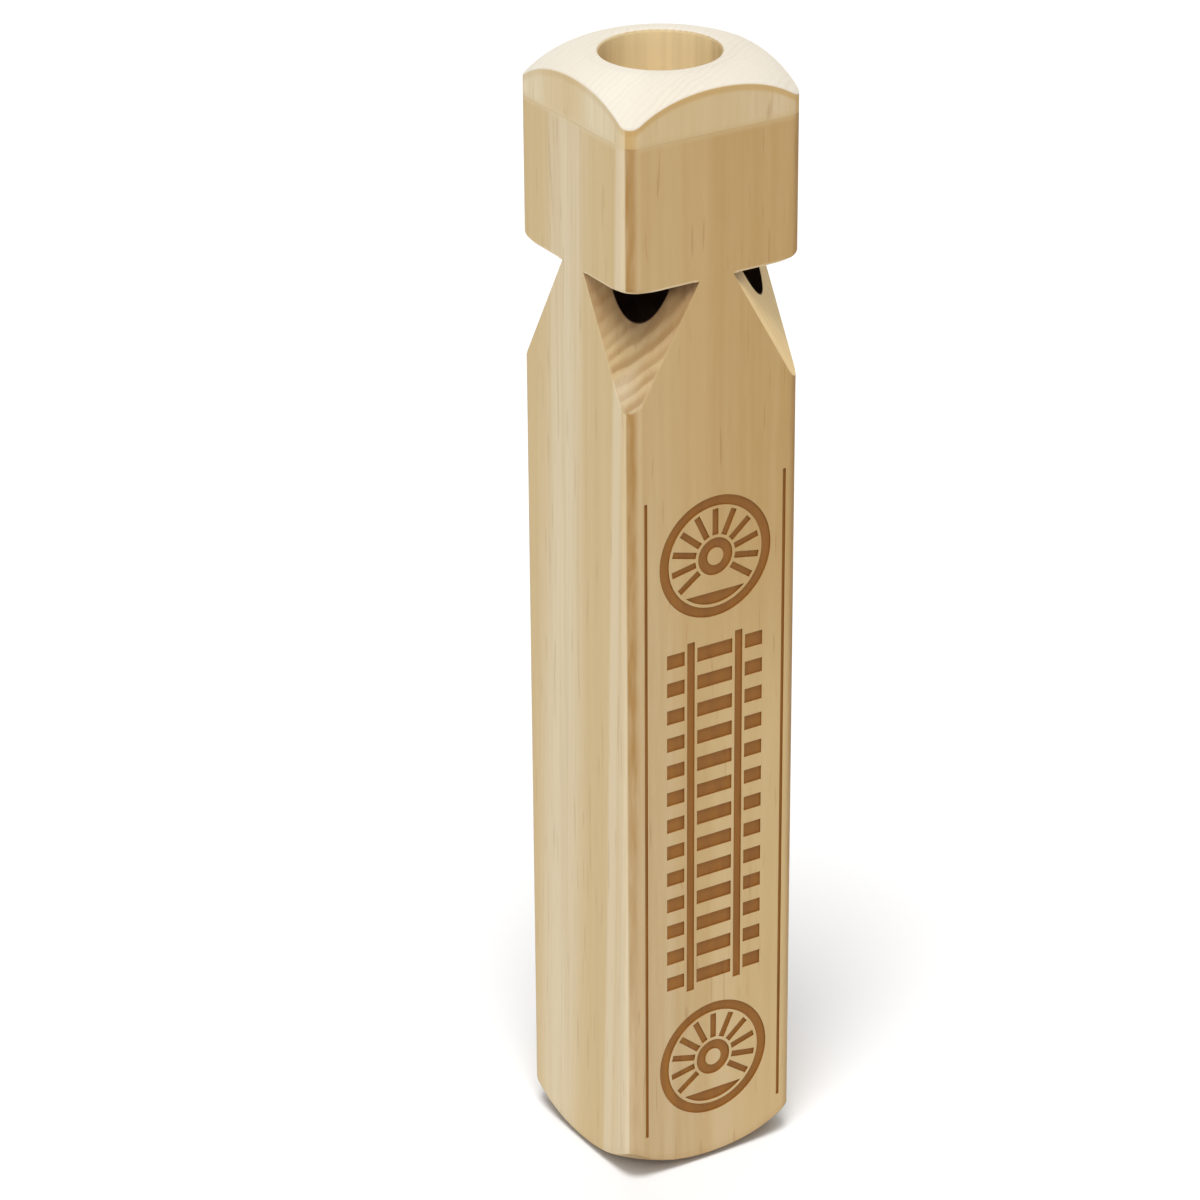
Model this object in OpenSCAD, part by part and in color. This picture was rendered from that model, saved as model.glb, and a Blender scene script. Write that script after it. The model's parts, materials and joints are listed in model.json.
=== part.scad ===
// Wooden train whistle: a square block with rounded long edges, turned to a low dome at both
// ends. Four sounding chambers are drilled down from the head, one behind each long edge, and
// each opens at a notch. A fipple plug in each chamber leaves a thin windway that aims the breath
// at the notch's sharp lip, and a glued cap with the mouth hole closes the head.
// The foot stands on z = 0 with the mouth up. Sizes are in millimetres, angles in degrees.

/* [Block] */
// Width of the square block across its flats
block_w = 32; // [29:0.5:35]
// Length of the whistle, from the foot to the mouth
block_l = 190; // [180:1:210]
// Radius of the four long edges
edge_r = 2.5; // [1:0.1:3.5]

/* [Turned ends] */
// Radius of the arc that is turned on both ends
dome_r = 17; // [16:0.5:24]
// Distance from the whistle's axis to the centre of that arc
dome_centre_r = 9; // [7:0.5:9.5]
// Diameter of the flat that the whistle stands on
foot_flat_d = 26; // [22:0.5:28]

/* [Mouth] */
// Diameter of the hole that is blown into
mouth_d = 19; // [18:0.5:21]
// Width of the flat ring left round the mouth hole
mouth_land = 1; // [0.8:0.1:2]
// Radius of the mouth hole's eased rim
mouth_rim_r = 0.5; // [0.2:0.1:0.8]
// Thickness of the glued cap, from the mouth to the seam
cap_t = 8.5; // [8:0.5:11]
// Depth of the air throat in the block, below the seam
throat_depth = 8; // [6:0.5:9]
// Reach of the air throat into each sounding chamber
throat_reach = 6.5; // [5:0.5:7]

/* [Notches] */
// Distance from the mouth down to the face of the notches
head_h = 32; // [30:0.5:36]
// Length of a notch along each flat, from the corner of the square
notch_leg = 13; // [12:0.5:14]
// Height of a notch, from its face down to the tip of its ramp
notch_h = 20; // [16:0.5:24]

/* [Sounding chambers] */
// Wood left between a chamber and the two flats beside it
chamber_wall = 2.85; // [2:0.05:3]
// Wood left between a chamber and the next one
chamber_web = 2.3; // [1.8:0.1:4]
// Depth of the front left chamber, below its notch
front_left_depth = 120; // [100:1:130]
// Depth of the front right chamber, below its notch
front_right_depth = 107; // [90:1:115]
// Depth of the back right chamber, below its notch
back_right_depth = 95; // [80:1:105]
// Depth of the back left chamber, below its notch
back_left_depth = 80; // [70:1:90]
// Point angle of the drill, which shapes the chambers' ends
drill_point = 118; // [90:1:140]

/* [Fipple plugs] */
// Height of the windway, between a plug's flat and the chamber's wall
windway_h = 1.5; // [1:0.1:2.5]
// Distance from a notch's face up to the lower end of its plug
plug_set_back = 3; // [2:0.5:4]
// Glue line between a plug and its chamber
glue_gap = 0.05; // [0.02:0.01:0.1]

/* [Hidden] */
$fn = 96;

// Cuts run this far past the faces that they open
overshoot = 1;

// The corners in order round the axis: front left, front right, back right, back left.
// The front is the -Y face, so front left is the corner at -X, -Y.
corner_angle = [225, 315, 45, 135];
chamber_depth = [front_left_depth, front_right_depth, back_right_depth, back_left_depth];

// Heights above the foot
seam_z = block_l - cap_t;
throat_z = seam_z - throat_depth;
notch_z = block_l - head_h;
plug_z = notch_z + plug_set_back;
plug_l = throat_z - plug_z;

// Distances from the axis, measured towards a corner
mouth_r = mouth_d / 2;
chamber_d = (block_w - 2 * chamber_wall - chamber_web) / 2;
chamber_r = chamber_d / 2;
chamber_axis_r = (block_w / 2 - chamber_wall - chamber_r) * sqrt(2);
throat_r = chamber_axis_r - chamber_r + throat_reach;
square_corner_r = block_w / 2 * sqrt(2);
round_corner_r = (block_w / 2 - edge_r) * sqrt(2) + edge_r;
ramp_fold_r = (block_w - notch_leg) / sqrt(2);
ramp_slope = notch_h / (round_corner_r - ramp_fold_r);

// Heights of the turned arcs' centres, which leave the flats at the foot and round the mouth
foot_flat_r = foot_flat_d / 2;
mouth_flat_r = mouth_r + mouth_rim_r + mouth_land;
foot_arc_z = sqrt(pow(dome_r, 2) - pow(foot_flat_r - dome_centre_r, 2));
mouth_arc_z = block_l - sqrt(pow(dome_r, 2) - pow(mouth_flat_r - dome_centre_r, 2));

// Height of the cone that a drill's point leaves
point_h = chamber_r / tan(drill_point / 2);

// The block's square section with its rounded corners
module block_section() {
  flat_w = block_w - 2 * edge_r;
  square([block_w, flat_w], center = true);
  square([flat_w, block_w], center = true);
  for (x = [-1, 1], y = [-1, 1])
    translate([x * flat_w / 2, y * flat_w / 2]) circle(r = edge_r);
}

// Half outline of the turning: both ends' arcs, and room for the square block between them
module turning_outline() {
  intersection() {
    square([block_w, block_l]);
    union() {
      square([dome_centre_r, block_l]);
      translate([0, foot_arc_z]) square([block_w, mouth_arc_z - foot_arc_z]);
      translate([dome_centre_r, foot_arc_z]) circle(r = dome_r);
      translate([dome_centre_r, mouth_arc_z]) circle(r = dome_r);
    }
  }
}

// A length of the block, from one height to another, with its ends turned
module turned_block(from_z, to_z) {
  intersection() {
    translate([0, 0, from_z]) linear_extrude(to_z - from_z) block_section();
    rotate_extrude() turning_outline();
  }
}

// One sounding chamber, drilled down from the seam
module chamber(depth) {
  translate([chamber_axis_r, 0, notch_z - depth]) {
    cylinder(r = chamber_r, h = seam_z + overshoot - notch_z + depth);
    translate([0, 0, -point_h]) cylinder(r1 = 0, r2 = chamber_r, h = point_h);
  }
}

// One notch: a flat face square to the axis, and a ramp that runs out to the long edge
module notch() {
  reach = square_corner_r + overshoot - ramp_fold_r;
  translate([ramp_fold_r, 0, notch_z])
    rotate([90, 0, 0])
      linear_extrude(block_w, center = true)
        polygon([[0, 0], [reach, 0], [reach, -reach * ramp_slope]]);
}

// Easing of the mouth hole's rim, as a ring of the wood to take away
module mouth_rim() {
  rotate_extrude() translate([mouth_r, block_l - mouth_rim_r]) difference() {
    square([mouth_rim_r, mouth_rim_r + overshoot]);
    translate([mouth_rim_r, 0]) circle(r = mouth_rim_r);
  }
}

// The block: foot, chambers, notches and the air throat that feeds the chambers
module body_block() {
  color("burlywood") difference() {
    turned_block(0, seam_z);
    translate([0, 0, throat_z]) cylinder(r = throat_r, h = throat_depth + overshoot);
    for (i = [0:3]) rotate(corner_angle[i]) {
      chamber(chamber_depth[i]);
      notch();
    }
  }
}

// The cap: closes the chambers' tops and carries the mouth hole
module mouthpiece_cap() {
  color("wheat") difference() {
    turned_block(seam_z, block_l);
    translate([0, 0, seam_z - overshoot]) cylinder(r = mouth_r, h = cap_t + 2 * overshoot);
    mouth_rim();
  }
}

// A plug: a dowel with a flat towards the corner, which leaves the windway open
module fipple_plug(corner) {
  color("tan") rotate(corner_angle[corner]) translate([chamber_axis_r, 0, plug_z])
    difference() {
      cylinder(r = chamber_r - glue_gap, h = plug_l);
      translate([chamber_r - windway_h, -chamber_r, -overshoot])
        cube([chamber_r, chamber_d, plug_l + 2 * overshoot]);
    }
}

body_block();
mouthpiece_cap();
fipple_plug(0);  // fipple_plug_front_left
fipple_plug(1);  // fipple_plug_front_right
fipple_plug(2);  // fipple_plug_back_right
fipple_plug(3);  // fipple_plug_back_left
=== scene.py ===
import json
import math

import bmesh
import bpy
from mathutils import Matrix, Vector


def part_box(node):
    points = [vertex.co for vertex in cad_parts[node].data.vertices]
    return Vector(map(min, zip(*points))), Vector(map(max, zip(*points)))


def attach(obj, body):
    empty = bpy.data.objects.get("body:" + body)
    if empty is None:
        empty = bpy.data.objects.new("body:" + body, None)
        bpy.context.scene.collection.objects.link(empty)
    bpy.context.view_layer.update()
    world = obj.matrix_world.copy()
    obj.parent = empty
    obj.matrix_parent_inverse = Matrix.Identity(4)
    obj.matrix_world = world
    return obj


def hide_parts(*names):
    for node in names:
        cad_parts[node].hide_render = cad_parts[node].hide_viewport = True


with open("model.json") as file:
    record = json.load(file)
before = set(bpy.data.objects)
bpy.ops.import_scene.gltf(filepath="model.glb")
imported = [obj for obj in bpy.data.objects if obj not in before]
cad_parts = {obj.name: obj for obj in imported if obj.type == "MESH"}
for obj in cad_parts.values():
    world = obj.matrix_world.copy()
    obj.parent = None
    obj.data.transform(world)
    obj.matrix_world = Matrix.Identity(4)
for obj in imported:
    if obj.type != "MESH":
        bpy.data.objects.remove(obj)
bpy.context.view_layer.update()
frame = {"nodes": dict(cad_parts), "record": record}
mm = 0.001

# The whistle's main sizes: the frame gives what it can, the rest repeats the solid's own values
blockLow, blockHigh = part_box("body_block")
capLow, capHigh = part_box("mouthpiece_cap")
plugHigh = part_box("fipple_plug_front_left")[1]
mouthBore = next(m for m in frame["record"]["mounts"] if m["name"] == "mouth_bore")
block = {
    "width": blockHigh.x - blockLow.x,
    "length": capHigh.z,
    "seam": capLow.z,  # height of the glue line under the cap
    "throatFloor": plugHigh.z,
    "edgeRadius": 2.5 * mm,
    "domeRadius": 17 * mm,  # arc turned on both ends
    "domeCentre": 9 * mm,  # from the axis to that arc's centre
    "footFlat": 13 * mm,
    "notchFace": 158 * mm,
    "notchLeg": 13 * mm,
    "notchHeight": 20 * mm,
    "chamberRadius": 6 * mm,
    "chamberWall": 2.85 * mm,
    "throatReach": 6.5 * mm,
    "drillPoint": 3.605 * mm,
    "chamberDepths": (120 * mm, 107 * mm, 95 * mm, 80 * mm),
    "cornerAngles": (225, 315, 45, 135),  # front left, front right, back right, back left
    "endEase": 0.5 * mm,  # rounding between a dome and the flats
    "seamEase": 0.03 * mm,
    "notchEase": 0.2 * mm,  # rounding of a notch's sharp edges
    "notchEaseSteps": 2,
    "notchEaseAngle": 20,  # edges that fold less than this stay as they are
    "headEase": 0.2 * mm,  # along the head's lower edges, which are sanded
    "tipEase": 1.2 * mm,  # and at their tips
    "tipReach": 5 * mm,
    "tipSteps": 30,
    "headEaseEnd": 1.5 * mm,  # left unsanded at both ends of those edges
    "flatSteps": 36,  # faces across each flat
    "cornerSteps": 12,
    "arcSteps": 12,  # and from an end's flat to its crease
    "easeSteps": 9,
    "roundSteps": 64,
    "sharpAngle": 12,  # degrees, past which an edge is shaded sharp
    "cutPast": 1 * mm,  # cutters run this far past the faces that they open
    "easePast": 0.5 * mm,
    "easeOverlap": 0.01 * mm,  # by which a rounding passes both of its faces
    "chamberSlack": 0.03 * mm,  # points this near a chamber's wall count as on it
    "faceSlack": 0.05 * mm,  # and this near a notch's face
    "mergeDistance": 0.0005 * mm,
    "mergeAngle": 0.05,  # degrees, below which two faces are one flat
}
half = block["width"] / 2
chamberOffset = half - block["chamberWall"] - block["chamberRadius"]
mouthRadius = mouthBore["dims"]["r_mm"] * mm
mouthRing = {
    "rim": 0.5 * mm,  # radius of the mouth hole's eased rim
    "land": 1 * mm,  # flat ring outside it
    "rimSteps": 8,
}
mouthFlat = mouthRadius + mouthRing["rim"] + mouthRing["land"]
print("frame loaded:", len(frame["nodes"]), "nodes")


def arcDepth(flatRadius):  # how deep the turned arc's centre lies behind an end's flat
    return math.sqrt(block["domeRadius"] ** 2 - (flatRadius - block["domeCentre"]) ** 2)


# One socket of a node tree. Sums on values add Math nodes, and add() makes any other node.
class Wire:
    def __init__(self, tree, socket=None):
        self.tree = tree
        self.socket = socket

    def feed(self, target, value):
        if isinstance(value, Wire):
            self.tree.links.new(value.socket, target)
        else:
            target.default_value = value

    def add(self, kind, settings=None, inputs=None, out=0):
        node = self.tree.nodes.new(kind)
        for key, value in (settings or {}).items():
            setattr(node, key, value)
        for key, value in (inputs or {}).items():
            self.feed(node.inputs[key], value)
        if isinstance(out, tuple):
            return tuple(Wire(self.tree, node.outputs[name]) for name in out)
        return Wire(self.tree, node.outputs[out])

    def math(self, operation, *values):
        inputs = {index: value for index, value in enumerate((self,) + values)}
        return self.add("ShaderNodeMath", {"operation": operation}, inputs)

    def vector(self, operation, *values):
        inputs = {index: value for index, value in enumerate((self,) + values)}
        return self.add("ShaderNodeVectorMath", {"operation": operation}, inputs)

    def __add__(self, other):
        return self.math("ADD", other)

    def __radd__(self, other):
        return self.math("ADD", other)

    def __sub__(self, other):
        return self.math("SUBTRACT", other)

    def __rsub__(self, other):
        return self.add("ShaderNodeMath", {"operation": "SUBTRACT"}, {0: other, 1: self})

    def __mul__(self, other):
        return self.math("MULTIPLY", other)

    def __rmul__(self, other):
        return self.math("MULTIPLY", other)

    def __truediv__(self, other):
        return self.math("DIVIDE", other)

    def __abs__(self):
        return self.math("ABSOLUTE")

    def rise(self, low, high):  # 0 below low, 1 above high, smooth between
        settings = {"interpolation_type": "SMOOTHSTEP"}
        limits = {"Value": self, "From Min": low, "From Max": high}
        return self.add("ShaderNodeMapRange", settings, limits)

    def split(self):
        return self.add("ShaderNodeSeparateXYZ", None, {0: self}, ("X", "Y", "Z"))

    def blendOf(self, first, other, factor):
        return self.add("ShaderNodeMix", {"data_type": "RGBA"}, {0: factor, 6: first, 7: other}, 2)

    def blend(self, other, factor):  # this colour towards another
        return self.blendOf(self, other, factor)

    def cloud(self, scales, detail, shift, out):  # noise on stretched coordinates
        place = self.vector("MULTIPLY", scales).vector("ADD", (shift, shift * 0.7, shift * 1.3))
        values = {"Vector": place, "Scale": 1.0, "Detail": detail, "Roughness": 0.55}
        return self.add("ShaderNodeTexNoise", {"noise_dimensions": "3D"}, values, out)


def length2(a, b):  # of a flat vector
    return (a * a + b * b).math("SQRT")


# Sawn pine as a solid: rings round a pith that lies off the block, straight fibres along Z
pineBody = {
    "early": (0.69, 0.578, 0.391, 1),
    "late": (0.59, 0.43, 0.208, 1),
    "ringLine": (0.38, 0.235, 0.09, 1),
    "fibre": (0.53, 0.375, 0.175, 1),
    "canal": (0.30, 0.155, 0.05, 1),
    "heart": (0.44, 0.27, 0.097, 1),
    "seam": (0.65, 0.52, 0.315, 1),  # sanded across the glue line
    "seamFront": (0.53, 0.38, 0.19, 1),
    "seamAmount": 0.65,
    "burnish": (0.34, 0.18, 0.045, 1),  # on the long edges and under the domes
    "cut": (0.25, 0.13, 0.043, 1),  # across the fibres, in the notches the light doesn't reach; painted shade darkens it towards the head
    "paintedShade": (0.07, 0.03, 0.012, 1),  # painted shade: the head's shadow at the top of a notch, and round a window
    "lip": (0.82, 0.71, 0.52, 1),  # painted highlight along the head's sanded lower edges
    "litCut": (0.78, 0.57, 0.275, 1),  # painted light: a paler cut on the notch that the light reaches
    "boreShadeAndLight": (0.05, 0.022, 0.012, 1),  # painted shade, nearly black, inside a chamber; the cap's value is painted light on the mouth hole's wall
    "dome": (0.33, 0.205, 0.09, 1),  # end grain of the turned foot
    "flat": (0.55, 0.45, 0.31, 1),  # and of the disc that it stands on
    "domeAmount": 0.75,
    "endRings": 0.3,  # of the rings that show through on end grain
    "rimAmount": 0.15,
    "pith": (20, 58),  # mm from the axis
    "slant": 0.033,  # of the grain, against the axis
    "lightRing": 64.9,  # mm from the pith to a pale zone
    "zone": 19.0,  # mm from one pale zone to the next
    "zoneAmount": 0.9,
    "paleRing": 78.2,  # mm from the pith to one narrow pale ring
    "ring": 1.04,  # mm between yearly rings
    "sway": 1.5,  # mm that the grain wanders
    "ringAmount": 0.07,
    "cutRingAmount": 0.75,
    "streakAmount": 0.3,
    "heartAmount": 1.0,
    "roughness": 0.56,
    "specular": 0.3,
    "bump": 0.3,
    "bumpDepth": 0.06 * mm,
    "seed": 3.1,
}
pineCap = dict(
    pineBody,
    early=(0.73, 0.625, 0.43, 1),
    late=(0.64, 0.495, 0.275, 1),
    burnish=(0.50, 0.315, 0.11, 1),
    # painted light: the mouth hole's wall paler than the wood
    boreShadeAndLight=(1.0, 0.81, 0.47, 1),
    dome=(0.68, 0.65, 0.58, 1),
    flat=(0.665, 0.635, 0.57, 1),
    domeAmount=0.8,
    endRings=0.1,
    rimAmount=0.75,
    pith=(-36, 62),
    lightRing=70.0,
    heartAmount=0.6,
    streakAmount=0.2,
    ringAmount=0.03,
    cutRingAmount=0.35,
    seed=11.7,
)
pineDowel = dict(
    pineBody,
    early=(0.65, 0.50, 0.30, 1),
    late=(0.54, 0.39, 0.20, 1),
    pith=(-70, -15),
    heartAmount=0.0,
    seed=23.9,
)
pineBurnt = dict(
    pineBody,
    early=(0.33, 0.138, 0.019, 1),
    late=(0.27, 0.105, 0.013, 1),
    ringLine=(0.18, 0.065, 0.010, 1),
    fibre=(0.20, 0.075, 0.012, 1),
    canal=(0.13, 0.045, 0.010, 1),
    heart=(0.22, 0.083, 0.013, 1),
    heartAmount=0.4,
    ringAmount=0.35,
    cutRingAmount=0.35,
)


# Where the marks of tools and hands, and the painted light and shade in the notches and chambers,
# start and end, in mm
fades = {
    "skin": (-0.3, -0.1),  # from the block's outside
    "notchSkin": (-0.08, -0.01),
    "frontSide": (-0.6, 0.4),  # from the middle of a long edge, towards the front or back face
    "handledStart": (-1.1, -0.6),
    "handledEnd": (0.6, 2.4),
    "handledUp": (15, 90),  # from the foot
    "chamberLow": (25, 30),
    "corner": (0.0, 0.4),  # from the start of a long edge's rounding
    "dome": (0.06, 0.22),  # below a dome's surface
    "rimBand": (0.7, 1.5),
    "seam": (0.0, 1.1),  # either way from the glue line
    "notched": (-0.1, 1.0),  # from a notch's fold, outwards
    "notchLow": (-22, -21),  # from the notches' face, upwards
    "notchHigh": (-0.3, 0.0),
    "ridges": (-10, -4),
    # painted shade: the cut darkens over this range below the notches' face
    "cut": (-12, -4),
    # painted shade under the head, from the notches' face
    "paintedShade": (-3.8, -0.8),
    "shade": (-3.5, -0.5),
    # band of the painted highlight above the notches' face
    "lipLow": (-0.05, 0.0),
    "lipHigh": (0.2, 0.45),
    "chamberHigh": (2.5, 4),
    "lit": (14, 18),  # from the axis towards the front right, which the light reaches
    # painted shade, growing across a notch towards the front right
    "paintedShadeSide": (0, 8),
    "shadeSide": (1, 7),  # and towards the front left
    "windowShade": (0.0, 1.0),  # painted shade round a window, from a chamber's wall
    # painted shade inside a chamber, from its wall
    "chamber": (0.02, 0.1),
    "mouth": (0.03, 0.3),  # from the mouth hole's wall
    "mouthHigh": (-0.5, -0.2),  # from the whistle's end
}
flatDepth = 0.12  # mm of each end that count as its flat


def fade(value, name, base=0.0):
    low, high = fades[name]
    return value.rise(base + low, base + high)


# Masks for the parts of a block that tools and hands have marked, and for painted light and shade,
# from coordinates in mm
def blockMasks(x, y, z):
    inner = (half - block["edgeRadius"]) / mm
    edge = block["edgeRadius"] / mm
    length = block["length"] / mm
    ax = abs(x)
    ay = abs(y)
    overX = (ax - inner).math("MAXIMUM", 0.0)
    overY = (ay - inner).math("MAXIMUM", 0.0)
    skin = length2(overX, overY)  # equals the edge radius on the block's outside
    outside = fade(skin, "skin", edge)
    side = ay - ax
    frontSide = fade(side, "frontSide")
    corner = fade(ax.math("MINIMUM", ay), "corner", inner)
    handled = fade(side, "handledStart") * (1 - fade(side, "handledEnd"))
    handled = handled * (0.5 + 0.5 * fade(z, "handledUp"))

    # turned ends and the mouth hole
    centre = length2(x, y)
    reach = centre - block["domeCentre"] / mm
    domeRadius = block["domeRadius"] / mm
    drop = (domeRadius * domeRadius - reach * reach).math("MAXIMUM", 0.0).math("SQRT")
    footArc = arcDepth(block["footFlat"]) / mm
    mouthArc = (block["length"] - arcDepth(mouthFlat)) / mm
    depth = (z - footArc + drop).math("MINIMUM", mouthArc + drop - z)  # below a dome's surface
    dome = 1 - fade(depth, "dome")
    foot = z.math("LESS_THAN", flatDepth)
    ends = foot.math("MAXIMUM", z.math("GREATER_THAN", length - flatDepth))
    rimBand = (1 - fade(depth, "rimBand")) * outside * (0.35 + 0.65 * frontSide)
    mouth = 1 - fade(centre, "mouth", mouthRadius / mm)
    seam = 1 - fade(abs(z - block["seam"] / mm), "seam")

    # notches, their windows and the chambers behind
    top = block["notchFace"] / mm
    fold = (block["width"] - block["notchLeg"]) / mm
    inNotch = 1 - fade(skin, "notchSkin", edge)
    inNotch = inNotch * fade(z, "notchLow", top) * (1 - fade(z, "notchHigh", top))
    lit = fade(x - y, "lit")
    # the notches that the light doesn't reach, which get the darker cut and painted shade
    unlitNotch = inNotch * (1 - lit)
    # painted highlight along the head's lower edges
    lip = outside * fade(ax + ay, "notched", fold) * fade(z, "lipLow", top)
    offset = chamberOffset / mm
    fromBore = length2(ax - offset, ay - offset) - block["chamberRadius"] / mm
    # painted shade inside a chamber
    chamber = (1 - fade(fromBore, "chamber")) * fade(z, "chamberLow")
    # painted shade round a window, and where the head's shadow falls at the top of a notch
    windowShade = 1 - fade(fromBore, "windowShade")
    headShadow = fade(x - y, "paintedShadeSide") * fade(z, "paintedShade", top)
    shaded = fade(0 - x - y, "shadeSide") * fade(z, "shade", top)
    return {
        "outside": outside,
        "seam": outside * seam,
        "corner": corner * outside * handled,
        "rimBand": rimBand,
        "dome": dome * (1 - ends),
        "flat": ends,
        "inNotch": inNotch,
        "ridges": unlitNotch * (1 - fade(z, "ridges", top)),
        # the cut across the fibres, deepened with painted shade towards the head
        "cut": unlitNotch * (0.4 + 0.52 * fade(z, "cut", top)),
        # painted shade under the head and round a window
        "paintedShade": unlitNotch * (headShadow + 0.5 * windowShade) + inNotch * lit * shaded,
        # painted light on the notch that the light reaches
        "litCut": inNotch * lit,
        # painted highlight along the head's lower edges
        "lip": lip * (1 - fade(z, "lipHigh", top)),
        # painted shade inside a chamber
        "chamber": chamber * (1 - fade(z, "chamberHigh", top)),
        # painted light on the mouth hole's wall, on the cap
        "mouth": mouth * (1 - fade(z, "mouthHigh", length)),
    }


# Noises of the grain: cycles in a mm along X, Y and Z, detail, and a shift of the seed
noises = {
    "wander": ((0.04, 0.04, 0.007), 1.5, 0),
    "broad": ((0.16, 0.16, 0.004), 1.5, 5),
    "streak": ((0.55, 0.55, 0.009), 2.0, 9),
    "fine": ((5.0, 5.0, 0.1), 2.0, 14),
    "canal": ((1.6, 1.6, 0.11), 0.0, 21),
    "mottle": ((0.9, 0.9, 0.12), 2.0, 30),
    "speck": ((2.2, 2.2, 0.5), 1.0, 33),
}
# What the noises draw: where each part starts and ends, and how strong it is
figure = {
    "zonePower": 1.7,  # narrows the pale zones
    "zoneShare": 0.8,
    "broadShare": 0.55,
    "broadMean": 0.4,
    "ringShift": 2,  # years that the broad noise moves a ring
    "lateWood": (0.15, 0.7),  # in the width of one year
    "yearEnd": (0.8, 1.0),
    "faintRing": 0.3,  # strength of the weakest ring
    "streak": (0.46, 0.75),
    "fine": (0.4, 0.75),
    "fineAmount": 0.16,
    "canal": (0.72, 0.82),
    "speck": (0.6, 0.72),
    "pale": (0.5, 1.6),  # mm from the middle of the pale ring
    "paleAmount": 0.7,
    "front": (-2, 3),  # mm from the axis towards the front right
    "right": (13, 17.5),
    "rightUp": (72, 118),  # mm from the foot
    "heart": 0.62,
    "heartRight": 0.26,  # less on the right
    "heartHigh": 0.5,  # and more again above
    "heartNotch": 0.8,  # less in the notches
}


def pineMaterial(name, look, marked=()):
    material = bpy.data.materials.new(name)
    material.use_nodes = True
    tree = material.node_tree
    shader = next(node for node in tree.nodes if node.type == "BSDF_PRINCIPLED")
    start = Wire(tree)
    place = start.add("ShaderNodeTexCoord", None, None, "Object")
    inMm = place.vector("MULTIPLY", (1 / mm, 1 / mm, 1 / mm))
    x, y, z = inMm.split()
    masks = blockMasks(x, y, z)

    def noise(kind, out=0):
        scales, detail, shift = noises[kind]
        return inMm.cloud(scales, detail, look["seed"] + shift, out)

    # rings and pale zones, pushed about by a slow wander of the grain
    wander = noise("wander", "Color").vector("SUBTRACT", (0.5, 0.5, 0.5))
    wander = wander.vector("MULTIPLY", (look["sway"],) * 3)
    grainX, grainY, grainZ = inMm.vector("ADD", wander).split()
    pithX, pithY = look["pith"]
    lean = (grainZ - block["length"] / mm / 2) * look["slant"]
    radius = length2(grainX - pithX, grainY + lean - pithY)
    turns = (radius - look["lightRing"]) * (2 * math.pi / look["zone"])
    broad = noise("broad")
    paleZone = (0.5 + 0.5 * turns.math("COSINE")).math("POWER", figure["zonePower"])
    zone = (1 - paleZone) * figure["zoneShare"]
    zone = zone + (broad - figure["broadMean"]) * figure["broadShare"]
    years = radius / look["ring"] + figure["ringShift"] * broad
    phase = years.math("FRACT")
    year = years.math("FLOOR") + look["seed"]
    chance = start.add("ShaderNodeTexWhiteNoise", {"noise_dimensions": "1D"}, {"W": year})
    faint = figure["faintRing"]
    ring = phase.rise(*figure["lateWood"]) * (1 - phase.rise(*figure["yearEnd"]))
    ring = ring * (faint + (1 - faint) * chance)
    cutAmount = look["cutRingAmount"]
    ringAmount = cutAmount + (look["ringAmount"] - cutAmount) * masks["outside"]

    # fibres, streaks and short resin canals along the grain
    streak = noise("streak")
    fine = noise("fine")
    canal = noise("canal").rise(*figure["canal"])
    mottle = noise("mottle")
    speck = noise("speck").rise(*figure["speck"])

    colour = start.blendOf(look["early"], look["late"], zone.rise(0.0, 1.0) * look["zoneAmount"])
    colour = colour.blend(look["ringLine"], ring * ringAmount)
    colour = colour.blend(look["fibre"], streak.rise(*figure["streak"]) * look["streakAmount"])
    colour = colour.blend(look["fibre"], fine.rise(*figure["fine"]) * figure["fineAmount"])

    # the front and right faces have darker wood, which pales towards the foot on the right
    across = x - y
    front = across.rise(*figure["front"])
    right = across.rise(*figure["right"])
    pale = 1 - abs(radius - look["paleRing"]).rise(*figure["pale"])
    colour = colour.blend(look["early"], pale * (1 - front) * figure["paleAmount"])
    high = z.rise(*figure["rightUp"])
    heart = figure["heart"] - figure["heartRight"] * right + figure["heartHigh"] * right * high
    heart = heart * front * (1 - figure["heartNotch"] * masks["inNotch"]) * look["heartAmount"]
    uneven = 0.5 + 0.25 * broad + 0.45 * streak + 0.25 * mottle
    colour = colour.blend(look["heart"], heart * uneven)
    colour = colour.blend(look["canal"], canal * (0.2 + 0.15 * heart))

    # marks of tools and hands, and painted light and shade, over the grain, each as a tint and how
    # much of it
    sanded = start.blendOf(look["seam"], look["seamFront"], front)
    colour = colour.blend(sanded, masks["seam"] * look["seamAmount"])
    endGrain = look["domeAmount"] * (1 - look["endRings"] * (ring + speck))
    tints = {
        "corner": ("burnish", 0.37 + 0.9 * mottle),
        "rimBand": ("burnish", look["rimAmount"]),
        "dome": ("dome", endGrain),
        "flat": ("flat", endGrain),
        # the cut across the fibres, deepened with painted shade towards the head
        "cut": ("cut", 0.6 + 0.4 * mottle + 0.45 * ring * masks["ridges"]),
        # painted light on the notch that the light reaches
        "litCut": ("litCut", 0.86 - 0.15 * ring),
        # painted shade under the head and round a window
        "paintedShade": ("paintedShade", 0.3 + 0.5 * mottle),
        # painted highlight along the head's lower edges
        "lip": ("lip", 0.35),
        # painted shade inside a chamber
        "chamber": ("boreShadeAndLight", 0.92),
        # painted light on the mouth hole's wall, on the cap
        "mouth": ("boreShadeAndLight", 0.2 + 1.4 * streak),
    }
    for mark in marked:
        tint, amount = tints[mark]
        colour = colour.blend(look[tint], masks[mark] * amount)
    tree.links.new(colour.socket, shader.inputs["Base Color"])

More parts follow.
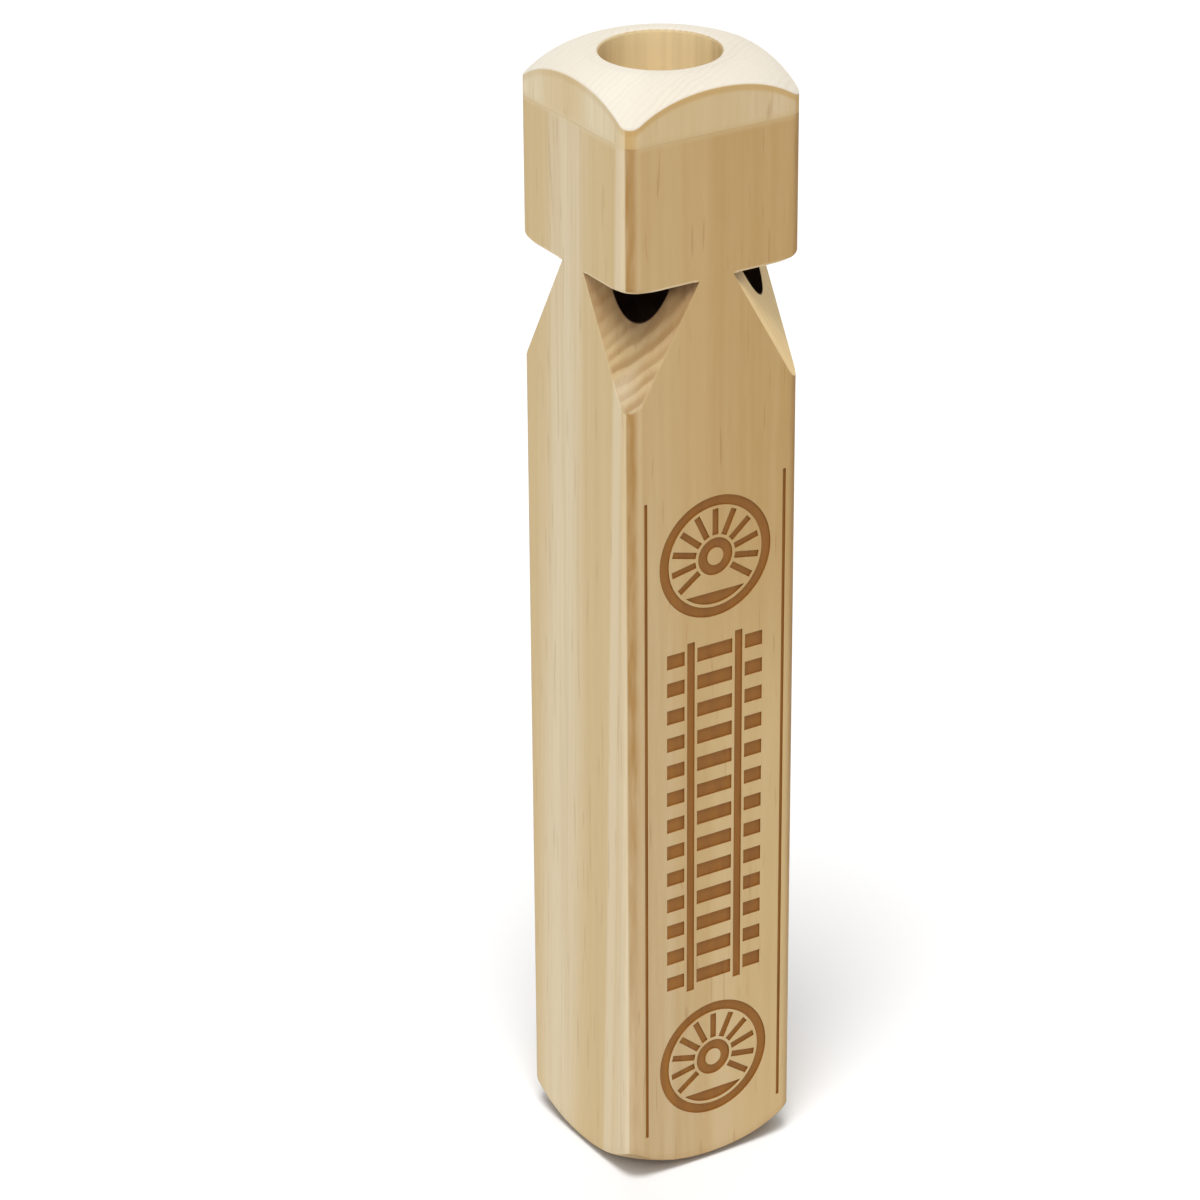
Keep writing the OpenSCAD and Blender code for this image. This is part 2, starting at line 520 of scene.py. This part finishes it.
    rough = look["roughness"] + 0.2 * fine - 0.05 * ring
    tree.links.new(rough.socket, shader.inputs["Roughness"])
    shader.inputs["Specular IOR Level"].default_value = look["specular"]
    ridge = ring * (0.35 + 1.5 * masks["ridges"])
    relief = fine * 0.5 + streak * 0.4 + ridge - canal * 0.5
    bump = {"Strength": look["bump"], "Distance": look["bumpDepth"], "Height": relief}
    normal = start.add("ShaderNodeBump", None, bump)
    tree.links.new(normal.socket, shader.inputs["Normal"])
    return material


bodyMarks = ("corner", "rimBand", "dome", "flat", "cut", "litCut", "paintedShade", "lip", "chamber")
bodyPine = pineMaterial("bodyPine", pineBody, bodyMarks)
capPine = pineMaterial("capPine", pineCap, ("corner", "rimBand", "dome", "flat", "mouth"))
dowelPine = pineMaterial("dowelPine", pineDowel)
burntPine = pineMaterial("burntPine", pineBurnt)
print("materials made")


def newPiece(name, mesh, *materials):
    piece = bpy.data.objects.new(name, mesh)
    bpy.context.scene.collection.objects.link(piece)
    for material in materials:
        mesh.materials.append(material)
    return piece


def settle(piece):  # modifiers become the piece's own plain mesh
    graph = bpy.context.evaluated_depsgraph_get()
    solid = piece.evaluated_get(graph)
    made = bpy.data.meshes.new_from_object(solid, preserve_all_data_layers=True, depsgraph=graph)
    piece.modifiers.clear()
    piece.data = made


def carve(piece, cutter):
    cut = piece.modifiers.new("carve", "BOOLEAN")
    cut.operation = "DIFFERENCE"
    cut.solver = "EXACT"
    cut.material_mode = "TRANSFER"
    cut.object = cutter
    settle(piece)
    bpy.data.objects.remove(cutter)


def smoothFaces(piece):  # flats stay flat, round faces shade smoothly
    piece.data.shade_smooth()
    piece.data.set_sharp_from_angle(angle=math.radians(block["sharpAngle"]))
    weighted = piece.modifiers.new("weighted", "WEIGHTED_NORMAL")
    weighted.keep_sharp = True
    weighted.weight = 100
    settle(piece)


def perimeter():  # points round the rounded square, from the front face's left end
    points = []
    inner = half - block["edgeRadius"]
    for side in range(4):
        turn = Matrix.Rotation(side * math.pi / 2, 2)
        for step in range(block["flatSteps"]):
            along = inner * (2 * step / block["flatSteps"] - 1)
            points.append(turn @ Vector((along, -half)))
        for step in range(block["cornerSteps"]):
            angle = math.pi / 2 * (step / block["cornerSteps"] - 1)
            arm = Vector((math.cos(angle), math.sin(angle))) * block["edgeRadius"]
            points.append(turn @ (Vector((inner, -inner)) + arm))
    return points


# Section of a turned end at one point of the perimeter, as (radius, depth behind the end's flat)
def endSection(wallRadius, flatRadius):
    dome = block["domeRadius"]
    centre = block["domeCentre"]
    depth = arcDepth(flatRadius)
    ease = block["endEase"]
    easeRadius = wallRadius - ease
    easeDepth = depth - math.sqrt((dome - ease) ** 2 - (easeRadius - centre) ** 2)
    first = math.asin((flatRadius - centre) / dome)
    meet = math.atan2(easeRadius - centre, depth - easeDepth)
    section = []
    for step in range(block["arcSteps"]):
        angle = first + (meet - first) * step / block["arcSteps"]
        section.append((centre + dome * math.sin(angle), depth - dome * math.cos(angle)))
    for step in range(block["easeSteps"] + 1):
        angle = meet + (math.pi / 2 - meet) * step / block["easeSteps"]
        section.append((easeRadius + ease * math.sin(angle), easeDepth - ease * math.cos(angle)))
    return section


# A piece from one section, of (radius, z) points, for each point of the perimeter
def skinPiece(name, sections, closed, material):
    shape = bmesh.new()
    columns = []
    for point, section in zip(perimeter(), sections):
        way = point.normalized()
        columns.append([shape.verts.new((way.x * r, way.y * r, z)) for r, z in section])
    count = len(columns)
    levels = len(columns[0])
    for index in range(count):
        here = columns[index]
        there = columns[(index + 1) % count]
        for level in range(levels if closed else levels - 1):
            up = (level + 1) % levels
            shape.faces.new((here[level], there[level], there[up], here[up]))
    if not closed:
        shape.faces.new([column[0] for column in reversed(columns)])
        shape.faces.new([column[-1] for column in columns])
    return finishShape(shape, name, material)


# An anticlockwise outline of (x, z) points as a solid along Y
def prism(shape, outline, back, front):
    rear = [shape.verts.new((x, back, z)) for x, z in outline]
    face = [shape.verts.new((x, front, z)) for x, z in outline]
    shape.faces.new(face)
    shape.faces.new(list(reversed(rear)))
    joinLoops(shape, rear, face)


def ringPrism(shape, outer, inner, back, front):  # the same with a hole
    loops = []
    for line in (outer, inner):
        for y in (back, front):
            loops.append([shape.verts.new((x, y, z)) for x, z in line])
    outerBack, outerFront, innerBack, innerFront = loops
    joinLoops(shape, outerBack, outerFront)
    joinLoops(shape, innerFront, innerBack)
    joinLoops(shape, innerBack, outerBack)
    joinLoops(shape, outerFront, innerFront)


def joinLoops(shape, first, second):
    for index in range(len(first)):
        after = (index + 1) % len(first)
        shape.faces.new((first[index], first[after], second[after], second[index]))


# A turned solid from (radius, z) points, the first and last of them on its axis
def lathe(shape, section, centre):
    steps = block["roundSteps"]
    turns = [2 * math.pi * step / steps for step in range(steps)]
    low = shape.verts.new((centre.x, centre.y, section[0][1]))
    high = shape.verts.new((centre.x, centre.y, section[-1][1]))
    rings = []
    for r, z in section[1:-1]:
        points = [(centre.x + r * math.cos(t), centre.y + r * math.sin(t), z) for t in turns]
        rings.append([shape.verts.new(point) for point in points])
    for index in range(steps):
        after = (index + 1) % steps
        shape.faces.new((low, rings[0][after], rings[0][index]))
        shape.faces.new((rings[-1][index], rings[-1][after], high))
    for lower, upper in zip(rings, rings[1:]):
        joinLoops(shape, lower, upper)


def finishShape(shape, name, *materials):
    mesh = bpy.data.meshes.new(name)
    shape.to_mesh(mesh)
    shape.free()
    return newPiece(name, mesh, *materials)


def cornerWay(angle):
    return Vector((math.cos(math.radians(angle)), math.sin(math.radians(angle)), 0))


def notchCutter():
    shape = bmesh.new()
    fold = (block["width"] - block["notchLeg"]) / math.sqrt(2)
    tip = (half - block["edgeRadius"]) * math.sqrt(2) + block["edgeRadius"]
    slope = block["notchHeight"] / (tip - fold)
    reach = half * math.sqrt(2) + block["cutPast"]
    top = block["notchFace"]
    outline = [(fold, top), (reach, top - (reach - fold) * slope), (reach, top)]
    for angle in block["cornerAngles"]:
        wedge = bmesh.new()
        prism(wedge, outline, half, -half)
        wedge.transform(Matrix.Rotation(math.radians(angle), 4, "Z"))
        piece = bpy.data.meshes.new("wedge")
        wedge.to_mesh(piece)
        wedge.free()
        shape.from_mesh(piece)
        bpy.data.meshes.remove(piece)
    return finishShape(shape, "notchCutter", bodyPine)


# Sands the head's lower edges: a strip along both flats of a notch and round the long edge
def headEdgeCutter():
    shape = bmesh.new()
    radius = block["edgeRadius"]
    bendLength = radius * math.pi / 4
    reach = block["notchLeg"] - block["headEaseEnd"]
    gain = block["tipEase"] - block["headEase"]
    for corner in block["cornerAngles"]:
        loops = []
        for step in range(-block["tipSteps"], block["tipSteps"] + 1):
            along = reach * step / block["tipSteps"]
            bend = max(-bendLength, min(bendLength, along)) / radius
            turned = corner + math.degrees(bend)
            outward = cornerWay(turned)
            place = cornerWay(corner) * (half - radius) * math.sqrt(2) + outward * radius
            place += cornerWay(turned + 90) * (along - bend * radius)
            near = max(0, 1 - abs(along) / block["tipReach"])
            ease = block["headEase"] + gain * near * near * (3 - 2 * near)
            section = easeSection(ease)
            points = [place + outward * out + Vector((0, 0, z)) for out, z in section]
            loops.append([shape.verts.new(point) for point in points])
        for first, second in zip(loops, loops[1:]):
            joinLoops(shape, first, second)
        shape.faces.new(list(reversed(loops[0])))
        shape.faces.new(loops[-1])
    return finishShape(shape, "headEdgeCutter", bodyPine)


# A rounding that just passes both faces, as (distance outside the wall, z)
def easeSection(ease):
    top = block["notchFace"]
    past = block["easePast"]
    radius = ease + block["easeOverlap"]
    section = []
    for step in range(block["easeSteps"] + 1):
        angle = math.pi / 2 * step / block["easeSteps"]
        section.append((radius * math.sin(angle) - ease, top + ease - radius * math.cos(angle)))
    return section + [(past, top + ease), (past, top - past), (-ease, top - past)]


def chamberCutter():
    shape = bmesh.new()
    radius = block["chamberRadius"]
    top = block["seam"] + block["cutPast"]
    for angle, depth in zip(block["cornerAngles"], block["chamberDepths"]):
        floor = block["notchFace"] - depth
        section = [(0, floor - block["drillPoint"]), (radius, floor), (radius, top), (0, top)]
        lathe(shape, section, cornerWay(angle) * chamberOffset * math.sqrt(2))
    return finishShape(shape, "chamberCutter", bodyPine)


def throatCutter():
    shape = bmesh.new()
    radius = chamberOffset * math.sqrt(2) - block["chamberRadius"] + block["throatReach"]
    top = block["seam"] + block["cutPast"]
    floor = block["throatFloor"]
    lathe(shape, [(0, floor), (radius, floor), (radius, top), (0, top)], Vector((0, 0, 0)))
    return finishShape(shape, "throatCutter", bodyPine)


def onChamber(vert):  # true on a chamber's wall or lip
    way = Vector((abs(vert.co.x) - chamberOffset, abs(vert.co.y) - chamberOffset))
    return way.length < block["chamberRadius"] + block["chamberSlack"]


def mergeFlats(piece):  # the flats become single faces, so the next cut is clean
    shape = bmesh.new()
    shape.from_mesh(piece.data)
    bmesh.ops.remove_doubles(shape, verts=shape.verts, dist=block["mergeDistance"])
    flat = math.radians(block["mergeAngle"])
    bmesh.ops.dissolve_limit(shape, angle_limit=flat, verts=shape.verts, edges=shape.edges)
    shape.to_mesh(piece.data)
    shape.free()


def easeNotches(piece):
    shape = bmesh.new()
    shape.from_mesh(piece.data)
    low = block["notchFace"] - block["notchHeight"] - block["cutPast"]
    high = block["notchFace"] - block["faceSlack"]
    chosen = []
    for edge in shape.edges:
        heights = [vert.co.z for vert in edge.verts]
        if not edge.is_manifold or not low < min(heights) < high:
            continue
        if any(onChamber(vert) for vert in edge.verts):
            continue
        if edge.calc_face_angle_signed() > math.radians(block["notchEaseAngle"]):
            chosen.append(edge)
    bmesh.ops.bevel(
        shape,
        geom=chosen,
        offset=block["notchEase"],
        offset_type="OFFSET",
        segments=block["notchEaseSteps"],
        profile=0.5,
        affect="EDGES",
        clamp_overlap=False,
    )
    shape.to_mesh(piece.data)
    shape.free()
    print("notch edges eased:", len(chosen))


def makeBlock():
    ease = block["seamEase"]
    sections = []
    for point in perimeter():
        wall = point.length
        section = endSection(wall, block["footFlat"])
        section += [(wall, block["seam"] - ease), (wall - ease, block["seam"])]
        sections.append(section)
    piece = skinPiece("whistleBlock", sections, False, bodyPine)
    for cutter in (notchCutter, headEdgeCutter, chamberCutter, throatCutter):
        carve(piece, cutter())
        mergeFlats(piece)
    easeNotches(piece)
    return piece


whistleBlock = makeBlock()
print("block carved:", len(whistleBlock.data.polygons), "faces")


# Geometry Nodes for marks that repeat: boxes in a row, or fanned round a centre in the XZ plane
def marksTree(name, inputs):
    tree = bpy.data.node_groups.new(name, "GeometryNodeTree")
    tree.interface.new_socket("Geometry", in_out="OUTPUT", socket_type="NodeSocketGeometry")
    for label, kind in inputs.items():
        tree.interface.new_socket(label, in_out="INPUT", socket_type=kind)
    start = Wire(tree)
    sockets = start.add("NodeGroupInput", None, None, tuple(inputs))
    return tree, start, dict(zip(inputs, sockets))


def closeTree(start, points, given, rotation):
    box = start.add("GeometryNodeMeshCube", None, {"Size": given["Size"]})
    placed = {"Points": points, "Instance": box, "Rotation": rotation}
    marks = start.add("GeometryNodeInstanceOnPoints", None, placed)
    solid = start.add("GeometryNodeRealizeInstances", None, {0: marks})
    finish = {"Geometry": solid, "Material": given["Finish"]}
    burnt = start.add("GeometryNodeSetMaterial", None, finish)
    end = start.tree.nodes.new("NodeGroupOutput")
    start.tree.links.new(burnt.socket, end.inputs[0])


markInputs = {
    "Count": "NodeSocketInt",
    "Step": "NodeSocketFloat",  # pitch along a row, or angle round a fan
    "Start": "NodeSocketVector",  # first mark of a row, or centre of a fan
    "Size": "NodeSocketVector",
    "Turn": "NodeSocketFloat",  # tilt of each mark, or the fan's first angle
    "Radius": "NodeSocketFloat",
    "Finish": "NodeSocketMaterial",
}


def rowTree():
    tree, start, given = marksTree("rowOfMarks", markInputs)
    pitch = start.add("ShaderNodeCombineXYZ", None, {"Z": given["Step"]})
    line = {"Count": given["Count"], "Start Location": given["Start"], "Offset": pitch}
    points = start.add("GeometryNodeMeshLine", None, line)
    turn = start.add("ShaderNodeCombineXYZ", None, {"Y": given["Turn"]})
    closeTree(start, points, given, turn)
    return tree


def fanTree():
    tree, start, given = marksTree("fanOfMarks", markInputs)
    points = start.add("GeometryNodeMeshLine", None, {"Count": given["Count"]})
    index = start.add("GeometryNodeInputIndex")
    angle = index * given["Step"] + given["Turn"]
    across = angle.math("COSINE") * given["Radius"]
    upward = angle.math("SINE") * given["Radius"] * -1.0
    arm = start.add("ShaderNodeCombineXYZ", None, {"X": across, "Z": upward})
    moved = {"Geometry": points, "Position": arm.vector("ADD", given["Start"])}
    points = start.add("GeometryNodeSetPosition", None, moved)
    turn = start.add("ShaderNodeCombineXYZ", None, {"Y": angle})
    closeTree(start, points, given, turn)
    return tree


rowOfMarks = rowTree()
fanOfMarks = fanTree()


def repeatMarks(shape, tree, **values):  # adds a tree's marks to a cutter's shape
    holder = newPiece("marks", bpy.data.meshes.new("marks"))
    nodes = holder.modifiers.new("marks", "NODES")
    nodes.node_group = tree
    values["Finish"] = burntPine
    for item in tree.interface.items_tree:
        if item.in_out == "INPUT" and item.name in values:
            nodes[item.identifier] = values[item.name]
    settle(holder)
    shape.from_mesh(holder.data)
    bpy.data.objects.remove(holder)


burn = {
    "depth": 0.22 * mm,
    "proud": 0.6 * mm,  # cutters start this far outside the face
    "line": 0.55 * mm,  # width of a plain line
    "gap": 0.5 * mm,  # bare wood between neighbouring marks
}
burnBack = -half + burn["depth"]
burnFront = -half - burn["proud"]
burnMiddle = (burnBack + burnFront) / 2
burnThick = burnBack - burnFront


def circle(x, z, radius, steps=72):
    turns = [2 * math.pi * step / steps for step in range(steps)]
    return [(x + radius * math.cos(t), z + radius * math.sin(t)) for t in turns]


def rectangle(x0, x1, z0, z1):
    return [(x0, z0), (x1, z0), (x1, z1), (x0, z1)]


def wheelMarks(shape, wheel):  # a spoked wheel with a balance weight
    x, z, radius = wheel["x"], wheel["z"], wheel["radius"]
    tread = radius - wheel["rim"]
    hub = wheel["hub"]
    ringPrism(shape, circle(x, z, radius), circle(x, z, tread), burnBack, burnFront)
    ringPrism(shape, circle(x, z, hub), circle(x, z, hub - wheel["hubRing"]), burnBack, burnFront)
    inner = hub + burn["gap"]
    outer = tread - burn["gap"]
    spread = math.radians(360 - wheel["weightSpan"])
    step = spread / wheel["spokes"]
    repeatMarks(
        shape,
        fanOfMarks,
        Count=wheel["spokes"],
        Step=step,
        Turn=math.radians(wheel["turn"] + wheel["weightSpan"] / 2) + step / 2,
        Start=(x, burnMiddle, z),
        Radius=(inner + outer) / 2,
        Size=(outer - inner, burnThick, wheel["spoke"]),
    )
    first = math.radians(-wheel["turn"] - wheel["weightSpan"] / 2)
    span = math.radians(wheel["weightSpan"])
    parts = wheel["weightSteps"]
    angles = [first + span * part / parts for part in range(parts + 1)]
    arc = [(x + outer * math.cos(a), z + outer * math.sin(a)) for a in angles]
    prism(shape, arc, burnBack, burnFront)


def trackMarks(shape, track):  # two rails over a row of sleepers
    rail = track["gauge"] / 2
    low, high = track["low"], track["high"]
    for side in (-1, 1):
        edges = sorted((side * (rail - track["rail"] / 2), side * (rail + track["rail"] / 2)))
        prism(shape, rectangle(edges[0], edges[1], low, high), burnBack, burnFront)
    between = track["gauge"] - track["rail"] - 2 * burn["gap"]
    stubStart = rail + track["rail"] / 2 + burn["gap"]
    stub = track["sleeperLength"] / 2 - stubStart
    count = track["sleepers"]
    pitch = (high - low) / count
    for x, wide in ((0, between), (stubStart + stub / 2, stub), (-stubStart - stub / 2, stub)):
        repeatMarks(
            shape,
            rowOfMarks,
            Count=count,
            Step=pitch,
            Start=(x, burnMiddle, low + pitch / 2),
            Size=(wide, burnThick, track["sleeper"]),
        )


def bulletRow(shape, x, low, count, pitch, size):  # small diamonds in a column
    repeatMarks(
        shape,
        rowOfMarks,
        Count=count,
        Step=pitch,
        Start=(x, burnMiddle, low),
        Size=(size, burnThick, size),
        Turn=math.pi / 4,
    )


bigWheel = {
    "x": 0,
    "radius": 10.4 * mm,
    "rim": 1.7 * mm,
    "hub": 3.2 * mm,
    "hubRing": 1.7 * mm,
    "spokes": 11,
    "spoke": 1.1 * mm,
    "weightSpan": 84,  # degrees
    "weightSteps": 16,
    "turn": 90,  # degrees down from the right, to the weight
}
frontMarks = {
    "upperWheel": dict(bigWheel, z=111 * mm),
    "lowerWheel": dict(bigWheel, z=19.5 * mm),
    "track": {
        "gauge": 9 * mm,
        "rail": 1.4 * mm,
        "low": 33.5 * mm,
        "high": 97 * mm,
        "sleepers": 13,
        "sleeper": 2.5 * mm,
        "sleeperLength": 18 * mm,
    },
    "border": 12.9 * mm,  # side lines, from the middle of the face
    "borderLow": 8 * mm,
    "borderHigh": 123 * mm,
}
backMarks = {
    "wheel": dict(
        bigWheel,
        z=113 * mm,
        radius=7.4 * mm,
        rim=1.1 * mm,
        hub=2.2 * mm,
        hubRing=1.2 * mm,
        spokes=9,
        spoke=0.8 * mm,
    ),
    "frame": 12 * mm,  # half its width
    "low": 11 * mm,
    "high": 125 * mm,
    "divider": 101 * mm,
    "rules": 9,
    "firstRule": 5.6 * mm,  # above the frame's low side
    "rulePitch": 9.6 * mm,
    "ruleLength": 15.5 * mm,
    "ruleShift": 1.6 * mm,  # from the middle of the face
    "bullet": 1.5 * mm,
    "bulletShift": -8.6 * mm,
}


def frontCutter():
    shape = bmesh.new()
    wheelMarks(shape, frontMarks["upperWheel"])
    wheelMarks(shape, frontMarks["lowerWheel"])
    trackMarks(shape, frontMarks["track"])
    low, high = frontMarks["borderLow"], frontMarks["borderHigh"]
    for side in (-1, 1):
        x = side * frontMarks["border"]
        outline = rectangle(x - burn["line"] / 2, x + burn["line"] / 2, low, high)
        prism(shape, outline, burnBack, burnFront)
    return finishShape(shape, "frontCutter", burntPine)


def backCutter():
    shape = bmesh.new()
    wide, low, high = backMarks["frame"], backMarks["low"], backMarks["high"]
    line = burn["line"]
    outer = rectangle(-wide, wide, low, high)
    inner = rectangle(-wide + line, wide - line, low + line, high - line)
    ringPrism(shape, outer, inner, burnBack, burnFront)
    reach = wide - line - burn["gap"]
    divider = backMarks["divider"]
    prism(shape, rectangle(-reach, reach, divider, divider + line), burnBack, burnFront)
    wheelMarks(shape, backMarks["wheel"])
    firstRule = low + backMarks["firstRule"]
    count, pitch = backMarks["rules"], backMarks["rulePitch"]
    repeatMarks(
        shape,
        rowOfMarks,
        Count=count,
        Step=pitch,
        Start=(backMarks["ruleShift"], burnMiddle, firstRule),
        Size=(backMarks["ruleLength"], burnThick, line),
    )
    bulletRow(shape, backMarks["bulletShift"], firstRule, count, pitch, backMarks["bullet"])
    shape.transform(Matrix.Rotation(math.pi, 4, "Z"))
    return finishShape(shape, "backCutter", burntPine)


carve(whistleBlock, frontCutter())
carve(whistleBlock, backCutter())
smoothFaces(whistleBlock)
print("engraving cut:", len(whistleBlock.data.polygons), "faces")


def makeCap():
    ease = block["seamEase"]
    length, seam = block["length"], block["seam"]
    rim = mouthRing["rim"]
    sections = []
    for point in perimeter():
        wall = point.length
        section = [(wall - ease, seam), (wall, seam + ease)]
        section += [(r, length - h) for r, h in reversed(endSection(wall, mouthFlat))]
        for step in range(mouthRing["rimSteps"] + 1):
            angle = math.pi / 2 * step / mouthRing["rimSteps"]
            inward = mouthRadius + rim * (1 - math.sin(angle))
            section.append((inward, length - rim * (1 - math.cos(angle))))
        section.append((mouthRadius, seam))
        sections.append(section)
    return skinPiece("mouthCap", sections, True, capPine)


mouthCap = makeCap()
smoothFaces(mouthCap)
print("cap made:", len(mouthCap.data.polygons), "faces")

joined = (
    (whistleBlock, "body_block", "body_pine"),
    (mouthCap, "mouthpiece_cap", "cap_pine"),
)
for piece, node, slot in joined:
    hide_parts(node)
    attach(piece, "root")
for name, node in frame["nodes"].items():
    if name.startswith("fipple_plug"):
        node.data.materials.clear()
        node.data.materials.append(dowelPine)
print("pieces joined to the frame")


# Pale floor, one broad light from above, softer ones from the front left and from behind
studio = {
    "floorRadius": 3.0,  # metres of flat floor, which then curves up as a studio sweep
    "sweepRadius": 4.5,
    "sweepAngle": 42,
    "sweepSteps": 12,
    "floorColour": (0.8, 0.8, 0.8, 1),
    "floorRoughness": 0.9,
    "world": 0.13,
    "lights": {
        "topLight": {"from": (-0.17, -0.2, 0.96), "strength": 2.55, "spread": 24},
        "frontLight": {"from": (-0.45, -0.5, 0.74), "strength": 1.05, "spread": 50},
        "backLight": {"from": (0.45, 0.5, 0.74), "strength": 0.8, "spread": 50},
    },
}


def makeFloor():
    shape = bmesh.new()
    rings = []
    for step in range(studio["sweepSteps"] + 1):
        angle = math.radians(studio["sweepAngle"]) * step / studio["sweepSteps"]
        radius = studio["floorRadius"] + studio["sweepRadius"] * math.sin(angle)
        rise = studio["sweepRadius"] * (1 - math.cos(angle))
        rings.append([shape.verts.new((x, y, rise)) for x, y in circle(0, 0, radius)])
    shape.faces.new(rings[0])
    for inner, outer in zip(rings, rings[1:]):
        joinLoops(shape, outer, inner)
    floor = finishShape(shape, "floor")
    floor.data.shade_smooth()
    material = bpy.data.materials.new("paleFloor")
    material.use_nodes = True
    shader = next(node for node in material.node_tree.nodes if node.type == "BSDF_PRINCIPLED")
    shader.inputs["Base Color"].default_value = studio["floorColour"]
    shader.inputs["Roughness"].default_value = studio["floorRoughness"]
    floor.data.materials.append(material)


def makeLight(name, look):
    lamp = bpy.data.lights.new(name, "SUN")
    lamp.energy = look["strength"]
    lamp.angle = math.radians(look["spread"])
    light = bpy.data.objects.new(name, lamp)
    bpy.context.scene.collection.objects.link(light)
    light.rotation_euler = Vector(look["from"]).to_track_quat("Z", "Y").to_euler()


world = bpy.data.worlds.new("studio")
bpy.context.scene.world = world
world.use_nodes = True
sky = world.node_tree.nodes["Background"]
sky.inputs["Color"].default_value = (1, 1, 1, 1)
sky.inputs["Strength"].default_value = studio["world"]
makeFloor()
for name, look in studio["lights"].items():
    makeLight(name, look)
bpy.context.scene.view_settings.view_transform = "Standard"

# The camera stands high on the front left, with a long lens, and looks a little left of the axis
photoView = {
    "azimuth": -31.65,
    "elevation": 25.71,
    "roll": -0.418,
    "distance": 746 * mm,
    "lens": 138.87,
    "sensor": 36,
    "nearest": 10 * mm,
    "aimRight": -9.76 * mm,
    "aimUp": 1.76 * mm,
}


def makeCamera():
    azimuth = math.radians(photoView["azimuth"])
    elevation = math.radians(photoView["elevation"])
    level = Vector((math.sin(azimuth), -math.cos(azimuth), 0)) * math.cos(elevation)
    back = level + Vector((0, 0, math.sin(elevation)))
    right = Vector((math.cos(azimuth), math.sin(azimuth), 0))
    up = back.cross(right)
    aim = Vector((0, 0, block["length"] / 2))
    aim += right * photoView["aimRight"]
    aim += up * photoView["aimUp"]
    camera = bpy.data.objects.new("camera", bpy.data.cameras.new("camera"))
    bpy.context.scene.collection.objects.link(camera)
    camera.data.lens = photoView["lens"]
    camera.data.sensor_width = photoView["sensor"]
    camera.data.clip_start = photoView["nearest"]
    camera.location = aim + back * photoView["distance"]
    turn = Matrix.Rotation(math.radians(photoView["roll"]), 3, back)
    axes = Matrix((turn @ right, turn @ up, back)).transposed()
    camera.rotation_euler = axes.to_euler()
    bpy.context.scene.camera = camera


makeCamera()
print("studio set")
